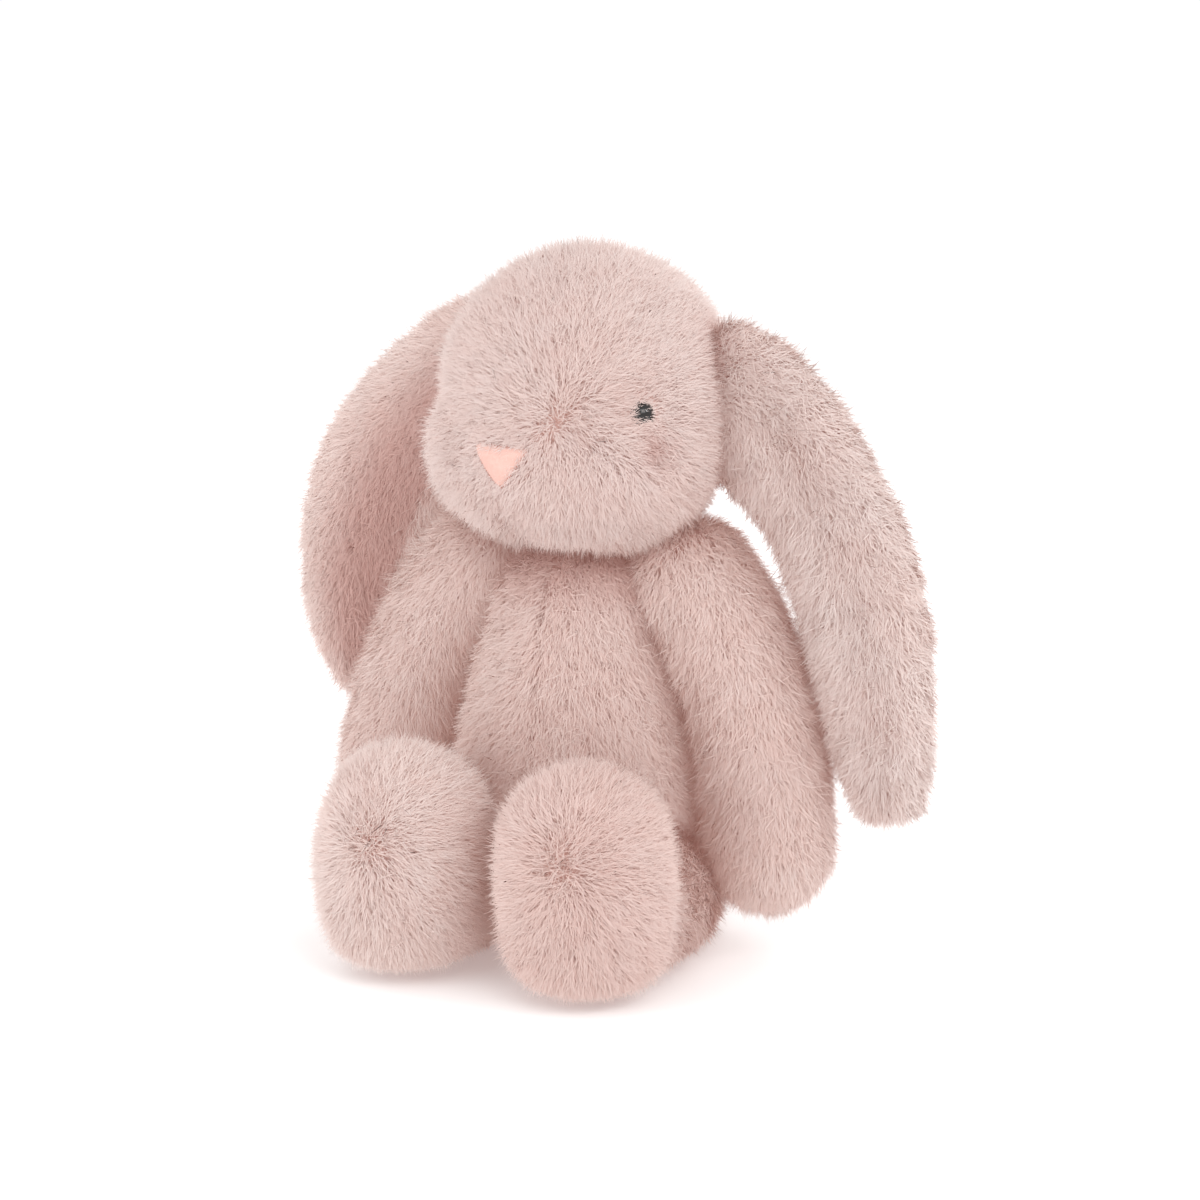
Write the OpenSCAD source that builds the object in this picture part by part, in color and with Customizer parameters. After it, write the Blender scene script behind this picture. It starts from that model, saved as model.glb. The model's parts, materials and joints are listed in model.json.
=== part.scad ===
// Seated plush bunny with long lop ears. The frame stands on the flat seat, +Z up,
// with the face towards -Y and the bunny's left hand towards +X.
// Every cover is drawn to the height of its pressed pile, so piled fur stands a little prouder.

/* [Torso] */
// Radius of the belly
belly_r = 53; // [48:1:54]
// Height of the middle of the belly
belly_z = 48; // [42:1:52]
// Radius of the shoulders
shoulder_r = 40; // [36:1:40]
// Height of the middle of the shoulders
shoulder_z = 112; // [104:1:112]
// Radius of the flat seat
seat_r = 33; // [28:1:36]
// Thickness of a cover with its pile pressed flat
cover_t = 3; // [2:0.5:4]
// Radius of the tail
tail_r = 18; // [12:1:22]
// Height of the middle of the tail
tail_z = 32; // [24:1:40]

/* [Head] */
// Radius of the head
head_r = 54; // [50:1:55]
// Height of the middle of the head
head_z = 221; // [219:1:228]
// Turn of the head at rest, negative towards the bunny's right
head_yaw = -8; // [-10:1:-6]
// Radius of the muzzle
muzzle_r = 32; // [26:1:34]
// Width of the nose patch
nose_w = 24; // [16:1:28]
// Radius of an eye bead
eye_r = 6; // [4:0.5:7]
// Angle of an eye round from the face
eye_turn = 58; // [50:1:70]

/* [Ears] */
// Thickness of a padded ear
ear_t = 12; // [9:1:13]
// Thickness of an ear panel at its rim-free middle
ear_panel_t = 4; // [3:0.5:4]

/* [Arms] */
// Radius of an arm
arm_r = 21; // [17:1:21]
// Forward swing of the left arm at rest
left_arm_swing = 2; // [0:1:4]
// Forward swing of the right arm at rest
right_arm_swing = 8; // [4:1:10]

/* [Legs] */
// Radius of a thigh
thigh_r = 28; // [24:1:28]
// Radius of a shin
shin_r = 22; // [20:1:22]
// Radius of a foot
foot_r = 29; // [26:1:29]
// Distance from the hip to the middle of the foot
leg_l = 49; // [47:1:52]
// Distance from the heel's centre up to the toes' centre
foot_rise = 28; // [20:1:30]
// Outward turn of the left leg at rest
left_leg_turn = 12; // [8:1:16]
// Outward turn of the right leg at rest
right_leg_turn = 4; // [4:1:12]

/* [Hidden] */
$fn = 48;

fur = [0.85, 0.71, 0.68];
fleece = [0.96, 0.95, 0.92];
bead_colour = [0.80, 0.86, 0.90];
salmon = [0.94, 0.77, 0.72];
jet = [0.05, 0.05, 0.06];
thread = [0.80, 0.66, 0.63];

clear = 0.6;      // gap round a ball that turns in its hollow
big = 400;        // larger than the whole bunny

// Torso profile: belly and shoulder circles joined by their common tangent.
taper = asin((belly_r - shoulder_r) / (shoulder_z - belly_z));
seat_corner = belly_r - seat_r;
// Radius of the torso at a height on its tapered stretch
function torso_r(z) = belly_r / cos(taper) - (z - belly_z) * tan(taper);

// Neck ball, which both the head and the torso turn about
neck_z = 162;
neck_r = 19;

// Hips, from the middle of the seat
hip = [33, -36, 30];
gather_r = 9;

// Shoulder, elbow and hand, down the middle of the left arm
shoulder = [49, 0, 150];
elbow = [72, 0, 104];
hand = [79, 0, 43];
arm_waist = 0.8;  // how much slimmer the sleeves are than the rounds between them

// Ears: root pivot on the side of the head, then circles down the middle of the ear
ear_root = [54, 236];
ear_gather_r = 8;
left_ear_y = 14;
right_ear_y = 12;
left_ear_discs = [
    [72, 228, 16], [84, 221, 24], [106, 197, 25], [117, 162, 24],
    [127, 124, 21], [131, 96, 16], [132, 84, 12]
];
right_ear_discs = [
    [72, 228, 16], [84, 221, 23], [106, 197, 27], [122, 164, 29],
    [129, 130, 23], [129, 106, 16], [124, 92, 12]
];

// Seat pouch: a flat round bag that lies behind the hips
pouch_r = seat_r - 11;
pouch_h = 24;
pouch_y = 10;
pouch_t = 1;

// Muzzle and nose, from the middle of the head
muzzle = [0, -27, -18];
nose_drop = -21;
nose_h = 15;
nose_t = 1.2;
eye_lift = -1.5;
eye_depth = 1.5;  // how far the middle of a bead lies under the cover's face
shank_r = 2;
washer_r = 7;
washer_t = 2;

// The half-space on one side of a plane through the origin
module half(side) {
    translate([side[0] * big / 2, side[1] * big / 2, side[2] * big / 2])
        cube(big, center = true);
}

// ---- Torso ----

// Half outline of the torso, drawn in by a depth
module torso_outline(depth) {
    a = belly_r - depth;
    b = shoulder_r - depth;
    intersection() {
        union() {
            translate([0, belly_z]) circle(a);
            translate([0, shoulder_z]) circle(b);
            polygon([
                [0, belly_z], [a * cos(taper), belly_z + a * sin(taper)],
                [b * cos(taper), shoulder_z + b * sin(taper)], [0, shoulder_z]
            ]);
            translate([seat_r, seat_corner]) circle(seat_corner - depth);
            translate([0, depth]) square([seat_r, belly_z]);
            translate([0, seat_corner]) square([a, belly_z - seat_corner]);
        }
        translate([0, depth]) square([big, big]);
    }
}

module torso_solid(depth) {
    rotate_extrude($fn = 96) torso_outline(depth);
}

// Hollows that the neck and the thighs turn in
module torso_hollows() {
    translate([0, 0, neck_z]) sphere(neck_r + clear);
    for (s = [-1, 1])
        translate([s * hip[0], hip[1], hip[2]]) sphere(thigh_r + clear);
}

// Short bars of thread across the back opening
module stitch_bars() {
    for (z = [66 : 6 : 102])
        translate([0, torso_r(z), z])
            rotate([0, 90, 0]) cylinder(h = 6, r = 0.7, center = true);
}

module torso_shell(side) {
    difference() {
        intersection() {
            torso_solid(0);
            half([0, side, 0]);
        }
        torso_solid(cover_t);
        torso_hollows();
        if (side > 0) stitch_bars();
    }
}

module torso_front_panel() { color(fur) torso_shell(-1); }
module torso_back_panel() { color(fur) torso_shell(1); }
module closing_stitches() { color(thread) stitch_bars(); }

module pouch(depth) {
    translate([0, pouch_y, cover_t + depth])
        cylinder(h = pouch_h - 2 * depth, r = pouch_r - depth);
}

module seat_bead_pouch() {
    color(fleece) difference() {
        pouch(0);
        pouch(pouch_t);
        torso_hollows();
    }
}

module seat_beads() {
    color(bead_colour) difference() {
        pouch(pouch_t);
        torso_hollows();
    }
}

module torso_stuffing() {
    color(fleece) difference() {
        torso_solid(cover_t);
        torso_hollows();
        pouch(0);
    }
}

// Ball that is cut flat where it is sewn on behind the belly
module tail_ball(depth) {
    translate([0, belly_r, tail_z]) rotate([-90, 0, 0]) rotate_extrude() intersection() {
        translate([0, tail_r / 2]) circle(tail_r - depth);
        square(big);
    }
}

module tail_cover() {
    color(fur) difference() {
        tail_ball(0);
        tail_ball(cover_t);
    }
}

module tail_stuffing() { color(fleece) tail_ball(cover_t); }

// ---- Neck ----

module neck_stuffing() {
    color(fleece) translate([0, 0, neck_z]) sphere(neck_r);
}

module neck_thread() {
    color(thread) translate([0, 0, neck_z - 2])
        rotate_extrude() translate([neck_r + 1.2, 0]) circle(1, $fn = 24);
}

// ---- Head, drawn facing -Y about its own middle ----

module place_head() {
    rotate([0, 0, head_yaw]) translate([0, 0, head_z]) children();
}

module head_solid(depth) {
    sphere(head_r - depth);
    translate(muzzle) sphere(muzzle_r - depth);
}

// Points +X of its child out through an eye
module at_eye(side) {
    rotate([0, 0, -90 + side * eye_turn]) rotate([0, -eye_lift, 0]) children();
}

module eye_bead(side) {
    at_eye(side) {
        translate([head_r - eye_depth, 0, 0]) sphere(eye_r);
        translate([head_r - 14, 0, 0]) rotate([0, 90, 0]) cylinder(h = 12, r = shank_r);
    }
}

module eye_washer(side) {
    at_eye(side) translate([head_r - eye_depth - eye_r - washer_t - 0.2, 0, 0])
        rotate([0, 90, 0]) difference() {
            cylinder(h = washer_t, r = washer_r);
            translate([0, 0, -1]) cylinder(h = washer_t + 2, r = shank_r);
        }
}

module head_hollows() {
    translate([0, 0, neck_z - head_z]) sphere(neck_r + clear);
    for (s = [-1, 1])
        translate([s * ear_root[0], s > 0 ? left_ear_y : right_ear_y, ear_root[1] - head_z])
            sphere(ear_gather_r + clear);
}

module head_shell(side) {
    color(fur) place_head() difference() {
        intersection() {
            head_solid(0);
            half([side, 0, 0]);
        }
        head_solid(cover_t);
        head_hollows();
        eye_bead(side);
    }
}

module head_left_panel() { head_shell(1); }
module head_right_panel() { head_shell(-1); }

module head_stuffing() {
    color(fleece) place_head() difference() {
        head_solid(cover_t);
        head_hollows();
        for (s = [-1, 1]) {
            eye_bead(s);
            eye_washer(s);
        }
    }
}

module nose_patch() {
    color(salmon) place_head() intersection() {
        difference() {
            translate(muzzle) sphere(muzzle_r + nose_t);
            translate(muzzle) sphere(muzzle_r);
        }
        translate([0, 0, nose_drop]) rotate([90, 0, 0]) linear_extrude(big / 2)
            polygon([[-nose_w / 2, nose_h / 2], [nose_w / 2, nose_h / 2], [0, -nose_h / 2]]);
    }
}

module left_eye() { color(jet) place_head() eye_bead(1); }
module right_eye() { color(jet) place_head() eye_bead(-1); }
module left_eye_washer() { color("white") place_head() eye_washer(1); }
module right_eye_washer() { color("white") place_head() eye_washer(-1); }

// ---- Ears, drawn in the head's own frame ----

// Outline of an ear, drawn in by a depth
module ear_outline(discs, depth) {
    for (i = [0 : len(discs) - 2])
        hull() {
            translate([discs[i][0], discs[i][1]]) circle(discs[i][2] - depth, $fn = 32);
            translate([discs[i + 1][0], discs[i + 1][1]])
                circle(discs[i + 1][2] - depth, $fn = 32);
        }
}

// A flat slab of the ear's outline between two depths, front face at -Y
module ear_slab(discs, depth, from_y, to_y) {
    translate([0, to_y, 0]) rotate([90, 0, 0])
        linear_extrude(to_y - from_y) ear_outline(discs, depth);
}

module place_ear(side) {
    rotate([0, 0, head_yaw]) mirror([side < 0 ? 1 : 0, 0, 0])
        translate([0, side > 0 ? left_ear_y : right_ear_y, 0]) children();
}

// Room for the gathered root, which the ear turns about
module root_room(radius) {
    translate([ear_root[0], 0, ear_root[1]]) sphere(radius);
}

// The ear's panel on one face, a tray with a pocket for the padding
module ear_panel(side, discs, face) {
    color(fur) place_ear(side) difference() {
        ear_slab(discs, 0, face < 0 ? -ear_t / 2 : 0, face < 0 ? 0 : ear_t / 2);
        ear_slab(discs, cover_t, ear_panel_t - ear_t / 2, ear_t / 2 - ear_panel_t);
        root_room(ear_gather_r + clear);
    }
}

module ear_padding(side, discs) {
    color(fleece) place_ear(side) difference() {
        ear_slab(discs, cover_t, ear_panel_t - ear_t / 2, ear_t / 2 - ear_panel_t);
        root_room(ear_gather_r + clear);
    }
}

module ear_gather(side) { color(fur) place_ear(side) root_room(ear_gather_r); }

module left_ear_gather() { ear_gather(1); }
module right_ear_gather() { ear_gather(-1); }
module left_ear_front_panel() { ear_panel(1, left_ear_discs, -1); }
module left_ear_back_panel() { ear_panel(1, left_ear_discs, 1); }
module left_ear_padding() { ear_padding(1, left_ear_discs); }
module right_ear_front_panel() { ear_panel(-1, right_ear_discs, -1); }
module right_ear_back_panel() { ear_panel(-1, right_ear_discs, 1); }
module right_ear_padding() { ear_padding(-1, right_ear_discs); }

// ---- Arms ----

// Tube of a radius between two points of the arm, which share one y
module arm_tube(a, b, r) {
    translate(a) rotate([0, atan2(b[0] - a[0], b[2] - a[2]), 0])
        cylinder(h = norm(b - a), r = r);
}

// Round shoulder, upper arm, forearm and round hand, drawn in by a depth
module arm_solid(depth) {
    r = arm_r - depth;
    for (p = [shoulder, elbow, hand])
        translate(p) sphere(r);
    arm_tube(shoulder, elbow, r - arm_waist);
    arm_tube(elbow, hand, r - arm_waist);
}

module place_arm(side) {
    swing = side > 0 ? left_arm_swing : right_arm_swing;
    mirror([side < 0 ? 1 : 0, 0, 0])
        translate([0, 0, shoulder[2]]) rotate([-swing, 0, 0])
            translate([0, 0, -shoulder[2]]) children();
}

module arm_panel(side, face) {
    color(fur) place_arm(side) difference() {
        intersection() {
            arm_solid(0);
            half([0, face, 0]);
        }
        arm_solid(cover_t);
    }
}

module arm_stuffing(side) { color(fleece) place_arm(side) arm_solid(cover_t); }

module left_arm_front_panel() { arm_panel(1, -1); }
module left_arm_back_panel() { arm_panel(1, 1); }
module left_arm_stuffing() { arm_stuffing(1); }
module right_arm_front_panel() { arm_panel(-1, -1); }
module right_arm_back_panel() { arm_panel(-1, 1); }
module right_arm_stuffing() { arm_stuffing(-1); }

// ---- Legs, drawn along -Y from the hip ----

module place_leg(side) {
    turn = side > 0 ? left_leg_turn : right_leg_turn;
    mirror([side < 0 ? 1 : 0, 0, 0]) translate(hip) rotate([0, 0, turn]) children();
}

// Round thigh, shin and upright foot, drawn in by a depth
module leg_solid(depth) {
    heel_z = foot_r - hip[2] + 0.5;
    sphere(thigh_r - depth);
    rotate([90, 0, 0]) cylinder(h = leg_l, r = shin_r - depth);
    translate([0, -leg_l, heel_z]) sphere(foot_r - depth);
    translate([0, -leg_l, heel_z]) cylinder(h = foot_rise, r = foot_r - depth);
    translate([0, -leg_l, heel_z + foot_rise]) sphere(foot_r - depth);
}

// Everything in front of the seam round the sole
module sole_side() {
    translate([0, -leg_l - foot_r / 2, 0]) half([0, -1, 0]);
}

module leg_shell() {
    difference() {
        leg_solid(0);
        leg_solid(cover_t);
    }
}

module leg_cover(side) {
    color(fur) place_leg(side) difference() {
        leg_shell();
        sole_side();
    }
}

module sole_panel(side) {
    color(fur) place_leg(side) intersection() {
        leg_shell();
        sole_side();
    }
}

// Beads that weight the heel
module heel_beads() {
    intersection() {
        translate([0, -leg_l, foot_r - hip[2] + 0.5]) sphere(foot_r - cover_t);
        translate([0, 0, -hip[2] / 2]) half([0, 0, -1]);
    }
}

module leg_stuffing(side) {
    color(fleece) place_leg(side) difference() {
        leg_solid(cover_t);
        sphere(gather_r + clear);
        heel_beads();
    }
}

module foot_beads(side) { color(bead_colour) place_leg(side) heel_beads(); }
module hip_gather(side) { color(thread) place_leg(side) sphere(gather_r); }

module left_hip_gather() { hip_gather(1); }
module left_leg_cover() { leg_cover(1); }
module left_sole_panel() { sole_panel(1); }
module left_leg_stuffing() { leg_stuffing(1); }
module left_foot_beads() { foot_beads(1); }
module right_hip_gather() { hip_gather(-1); }
module right_leg_cover() { leg_cover(-1); }
module right_sole_panel() { sole_panel(-1); }
module right_leg_stuffing() { leg_stuffing(-1); }
module right_foot_beads() { foot_beads(-1); }

torso_front_panel();
torso_back_panel();
torso_stuffing();
seat_bead_pouch();
seat_beads();
tail_cover();
tail_stuffing();
closing_stitches();
neck_stuffing();
neck_thread();
head_left_panel();
head_right_panel();
head_stuffing();
nose_patch();
left_eye();
right_eye();
left_eye_washer();
right_eye_washer();
left_ear_gather();
left_ear_front_panel();
left_ear_back_panel();
left_ear_padding();
right_ear_gather();
right_ear_front_panel();
right_ear_back_panel();
right_ear_padding();
left_arm_front_panel();
left_arm_back_panel();
left_arm_stuffing();
right_arm_front_panel();
right_arm_back_panel();
right_arm_stuffing();
left_hip_gather();
left_leg_cover();
left_sole_panel();
left_leg_stuffing();
left_foot_beads();
right_hip_gather();
right_leg_cover();
right_sole_panel();
right_leg_stuffing();
right_foot_beads();
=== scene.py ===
# %% [markdown]
# # A plush bunny with long lop ears
# A sewn toy in long faux fur: stuffed covers, a velour nose, bead eyes and soft ears that hang
# from the sides of the head. The frame gives every body and joint in metres, and each new piece
# is worked out around it, so nothing has to be fitted afterwards.

# %% Load the frame
import json
import math

import bmesh
import bpy
import numpy as np
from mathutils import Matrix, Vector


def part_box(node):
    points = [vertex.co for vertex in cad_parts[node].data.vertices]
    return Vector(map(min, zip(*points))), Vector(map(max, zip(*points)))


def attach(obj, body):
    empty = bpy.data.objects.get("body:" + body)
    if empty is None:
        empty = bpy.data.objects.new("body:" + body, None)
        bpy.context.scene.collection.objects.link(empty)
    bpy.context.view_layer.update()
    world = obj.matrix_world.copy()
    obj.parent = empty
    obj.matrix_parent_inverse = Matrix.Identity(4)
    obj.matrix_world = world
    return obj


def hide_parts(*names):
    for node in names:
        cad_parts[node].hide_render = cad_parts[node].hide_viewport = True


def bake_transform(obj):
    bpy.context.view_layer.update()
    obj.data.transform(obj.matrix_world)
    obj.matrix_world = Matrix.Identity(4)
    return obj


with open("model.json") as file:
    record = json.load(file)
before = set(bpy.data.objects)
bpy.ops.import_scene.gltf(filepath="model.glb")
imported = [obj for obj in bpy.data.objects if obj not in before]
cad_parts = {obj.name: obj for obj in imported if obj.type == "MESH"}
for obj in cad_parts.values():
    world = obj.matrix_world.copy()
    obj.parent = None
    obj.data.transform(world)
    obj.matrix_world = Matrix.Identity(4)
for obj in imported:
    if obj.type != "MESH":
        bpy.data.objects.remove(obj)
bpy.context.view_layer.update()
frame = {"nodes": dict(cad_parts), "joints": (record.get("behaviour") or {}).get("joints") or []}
MM = 0.001

# %% [markdown]
# ## Places that the pieces share
# Joints say where the ears, arms and legs turn, and boxes of nodes say where the head, the eyes
# and the nose sit. The head is turned a little to the bunny's right, so it has its own axes.

# %% Places from the frame
JOINTS = {j["name"]: j for j in frame["joints"]}


def spot(joint):
    """The point a joint turns about, in millimetres."""
    return np.array(JOINTS[joint]["pos_m"], float) / MM


def middle(node):
    """The middle of a node's box, in millimetres."""
    low, high = (np.array(corner, float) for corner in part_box(node))
    return (low + high) / 2 / MM


HEAD_X = np.array(JOINTS["head_nod"]["axis"], float)
HEAD_Y = np.cross([0, 0, 1], HEAD_X)
UP = np.array([0.0, 0.0, 1.0])
HEAD_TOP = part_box("head_left_panel")[1][2] / MM
HEAD_R = 54
HEAD = np.array([0, 0, HEAD_TOP - HEAD_R])
NOSE = middle("nose_patch")
EYES = {"left": middle("left_eye"), "right": middle("right_eye")}
SIDES = {"left": 1, "right": -1}
print("head", HEAD.round(1), "nose", NOSE.round(1))


def in_head(points):
    """Points drawn in the head's own axes about the middle of the head, in the frame's axes."""
    points = np.asarray(points, float)
    return HEAD + points[..., :1] * HEAD_X + points[..., 1:2] * HEAD_Y + points[..., 2:] * UP


def to_head(points):
    """The frame's points in the head's own axes."""
    return (points - HEAD) @ np.stack([HEAD_X, HEAD_Y, UP], axis=1)


# %% [markdown]
# ## Surfaces from arrays
# Every stuffed cover starts as rings of points. A limb is an ellipse carried along a smooth path
# and closed by half an ellipsoid at each end. The whole grid is one array, so there is no loop
# over points, and the same function makes the torso, the arms, the legs and the ears.

# %% Grid helpers
def unit(vectors):
    """Vectors divided by their own lengths."""
    return vectors / np.maximum(np.linalg.norm(vectors, axis=-1, keepdims=True), 1e-9)


def ease(x, low, high):
    """0 below low, 1 above high and smooth between."""
    t = ((x - low) / (high - low)).clip(0, 1)
    return t * t * (3 - 2 * t)


def smooth_through(knots, values, t):
    """Cubic pieces through the values, with each slope taken from the neighbours."""
    slopes = np.gradient(values, knots, axis=0)
    i = np.clip(np.searchsorted(knots, t) - 1, 0, len(knots) - 2)
    gap = (knots[i + 1] - knots[i])[:, None]
    s = (t - knots[i])[:, None] / gap
    rise = slopes[i] * gap * s * (1 - s) ** 2 - slopes[i + 1] * gap * s**2 * (1 - s)
    return values[i] * (1 + 2 * s) * (1 - s) ** 2 + values[i + 1] * s**2 * (3 - 2 * s) + rise


def limb(rows, depth_axis, stations=48, around=40, cap_rings=9):
    """Rows are (x, y, z, half width, half depth) in millimetres. A ring is an ellipse across the
    path with its depth along depth_axis, and each end is half an ellipsoid."""
    rows = np.array(rows, float)
    steps = np.linalg.norm(np.diff(rows[:, :3], axis=0), axis=1)
    knots = np.concatenate([[0], np.cumsum(steps)])
    body = smooth_through(knots, rows, np.linspace(0, knots[-1], stations))
    tangent = unit(np.gradient(body[:, :3], axis=0))
    angle = np.linspace(0, math.pi / 2, cap_rings + 1)[:-1][::-1, None]
    caps = []
    for end, sense in ((0, -1), (-1, 1)):
        reach = min(body[end, 3:])
        grown = (angle if end == 0 else angle[::-1])
        centre = body[end, :3] + sense * tangent[end] * reach * np.sin(grown)
        size = body[end, 3:] * np.cos(grown)
        caps.append((np.hstack([centre, size]), np.repeat(tangent[end][None], len(grown), 0)))
    rings = np.vstack([caps[0][0], body, caps[1][0]])
    tangent = np.vstack([caps[0][1], tangent, caps[1][1]])
    depth = unit(np.array(depth_axis) - (tangent @ depth_axis)[:, None] * tangent)
    width = np.cross(depth, tangent)
    turn = np.linspace(0, 2 * math.pi, around, endpoint=False)
    grid = rings[:, None, :3]
    grid = grid + (rings[:, 3:4] * np.cos(turn))[..., None] * width[:, None]
    grid = grid + (rings[:, 4:5] * np.sin(turn))[..., None] * depth[:, None]
    return grid


def ball(centre, reach, rings=40, around=64):
    """A closed shape whose reach(directions) is the distance from its centre each way."""
    fall = np.linspace(0, math.pi, rings + 2)[1:-1, None]
    turn = np.linspace(0, 2 * math.pi, around, endpoint=False)[None]
    way = np.stack(np.broadcast_arrays(
        np.sin(fall) * np.cos(turn), np.sin(fall) * np.sin(turn), np.cos(fall)), axis=-1)
    return centre + way * reach(way)[..., None]


def mesh_of(name, grids):
    """One mesh from closed grids. Rings join into quads and a fan of triangles closes each pole."""
    points, quads, fans, start = [], [], [], 0
    for grid in grids:
        rings, around = grid.shape[:2]
        poles = np.stack([grid[0].mean(axis=0), grid[-1].mean(axis=0)])
        points.append(np.vstack([grid.reshape(-1, 3), poles]))
        row, col = np.meshgrid(np.arange(rings - 1), np.arange(around), indexing="ij")
        a = row * around + col
        b = row * around + (col + 1) % around
        quads.append(np.stack([a, b, b + around, a + around], -1).reshape(-1, 4) + start)
        c = np.arange(around)
        d = (c + 1) % around
        last = (rings - 1) * around
        fans.append(np.stack([d, c, np.full(around, rings * around)], -1) + start)
        fans.append(np.stack([c + last, d + last, np.full(around, rings * around + 1)], -1) + start)
        start += len(points[-1])
    mesh = bpy.data.meshes.new(name)
    faces = np.vstack(quads).tolist() + np.vstack(fans).tolist()
    mesh.from_pydata((np.vstack(points) * MM).tolist(), [], faces)
    shape = bmesh.new()
    shape.from_mesh(mesh)
    bmesh.ops.recalc_face_normals(shape, faces=shape.faces)
    shape.to_mesh(mesh)
    shape.free()
    return mesh


# %% [markdown]
# ## Stuffed covers
# A stuffed cover is a little smaller than its pattern wants to be, and the filling pushes it out
# between the seams. Each cover is remeshed to even faces and blown up with Blender's Cloth for
# twenty frames. Points by a seam are pinned, so the seam stays drawn in, and no point may
# move further than a few millimetres. Where a cover meets the ground it is pressed flat.

# %% Cover helper
VOXEL = 4.5 * MM
MOST_SWELL = 3.0 * MM
GROUND = 0.6 * MM
covers = []


def cover(name, body, grids, replaced, fill, seam=None):
    """A stuffed cover for a body, standing for CAD nodes. seam(points) is the distance
    from the nearest seam in millimetres, or nothing where the cover has none."""
    piece = bpy.data.objects.new(name, mesh_of(name, grids))
    bpy.context.collection.objects.link(piece)
    even = piece.modifiers.new("even", "REMESH")
    even.mode = "VOXEL"
    even.voxel_size = VOXEL
    graph = bpy.context.evaluated_depsgraph_get()
    made = bpy.data.meshes.new_from_object(piece.evaluated_get(graph))
    piece.modifiers.clear()
    piece.data = made
    made.name = name
    covers.append({"piece": piece, "body": body, "nodes": replaced, "fill": fill, "seam": seam})
    return piece


def points_of(mesh):
    """A mesh's points as an array, in metres."""
    flat = np.empty(len(mesh.vertices) * 3, np.float32)
    mesh.vertices.foreach_get("co", flat)
    return flat.reshape(-1, 3).astype(float)


# %% [markdown]
# ## Torso, tail and neck
# The torso is a pear: a round belly on a flat seat, tapering to soft shoulders. The tail is a
# small ball behind it, and the neck is the gathered top of the torso that the head sits on.

# %% Torso, tail and neck covers
torso_rows = [
    (0, 0, 25, 50, 49), (0, -1, 48, 52, 51), (0, 0, 80, 47, 46),
    (0, 0, 112, 40.5, 40), (0, 0, 133, 35, 34),
]
cover("torso_cover", "torso", [limb(torso_rows, (0, 1, 0))],
      ["torso_front_panel", "torso_back_panel"], 0.6,
      lambda p: np.abs(p[:, 0]) + 40 * (p[:, 1] < 0))

TAIL = middle("tail_cover") + np.array([0, 1, 0])
cover("tail_cover_fur_side", "torso", [ball(TAIL, lambda w: 14.5 + 0 * w[..., 0])],
      ["tail_cover"], 0.5)

NECK = spot("head_turn")
neck_rows = [(0, 0, NECK[2] - 12, 24, 23), (0, 0, NECK[2], 21, 20), (0, 0, NECK[2] + 10, 23, 22)]
cover("neck_cover", "neck", [limb(neck_rows, (0, 1, 0), stations=20)], ["neck_stuffing"], 0.5)
print("torso, tail and neck covers made")

# %% [markdown]
# ## Head
# The head is a round skull with a soft muzzle low on the front and full cheeks. A ray from the
# middle of the head meets each of those rounds at a distance, and a high power mean of the
# distances is a smooth union with no crease between them.

# %% Head cover
SKULL = np.array([53.5, 51.5, 53])
MUZZLE = np.array([0, -27, -18])
MUZZLE_R = 31
CHEEK = np.array([22, -12, -18])
CHEEK_R = 33.5
JOIN_POWER = 14


def round_reach(way, centre, radius):
    """Distance along a ray from the origin to the far side of a round, or a little if it misses."""
    along = way @ centre
    inside = along**2 - centre @ centre + radius**2
    return np.where(inside > 0, along + np.sqrt(np.maximum(inside, 0)), 1).clip(1)


def head_reach(way):
    """Skull, muzzle and two cheeks joined by a high power mean of their distances."""
    skull = 1 / np.linalg.norm(way / SKULL, axis=-1)
    rounds = [skull, round_reach(way, MUZZLE, MUZZLE_R)]
    for side in SIDES.values():
        rounds.append(round_reach(way, CHEEK * np.array([side, 1, 1]), CHEEK_R))
    return sum(r**JOIN_POWER for r in rounds) ** (1 / JOIN_POWER)


def head_grid():
    """The head worked out in its own axes and set in the frame."""
    return in_head(ball(np.zeros(3), head_reach))


cover("head_cover", "head", [head_grid()], ["head_left_panel", "head_right_panel"], 0.8,
      lambda p: np.abs(to_head(p)[:, 0]))

# %% [markdown]
# ## Ears
# Each ear is a long flat bag. It is sewn on in a tall line down the side of the head, falls
# outwards and then straight down, and is widest a third of the way along. A shallow fold runs
# down its face. The rows are the middle of the ear, with its half width and half thickness.

# %% Ear covers
EAR_Y = {side: to_head(spot(side + "_ear_swing"))[1] for side in SIDES}
EAR_ROWS = {
    "left": [
        (50, 0, 221, 30, 6), (64, 0, 218, 28.5, 6.5), (81, 0, 207, 26.5, 7),
        (99, 0, 185, 26, 7), (113.5, 0, 157, 27, 7), (122.5, 0, 122, 24.5, 7),
        (128, 0, 93, 20, 6.5), (131, 0, 72, 13.5, 5),
    ],
    "right": [
        (50, 0, 225, 31, 6), (65, 0, 222, 28, 6.5), (84, 0, 211, 27, 6.5),
        (106, 0, 189, 29, 6.5), (123, 0, 160, 29, 6.5), (131, 0, 129, 24, 6.5),
        (129, 0, 104, 18, 6), (125, 0, 92, 13, 5),
    ],
}


def ear_place(side, points):
    """Ear points drawn for the left side and the ground, set on their own side of the head."""
    x, y, z = np.moveaxis(np.asarray(points, float), -1, 0)
    return in_head(np.stack([SIDES[side] * x, y + EAR_Y[side], z - HEAD[2]], axis=-1))


def ear_unplace(side, points):
    """The frame's points in the axes that the ear's rows are drawn in."""
    x, y, z = np.moveaxis(to_head(points), -1, 0)
    return np.stack([SIDES[side] * x, y - EAR_Y[side], z + HEAD[2]], axis=-1)


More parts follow.
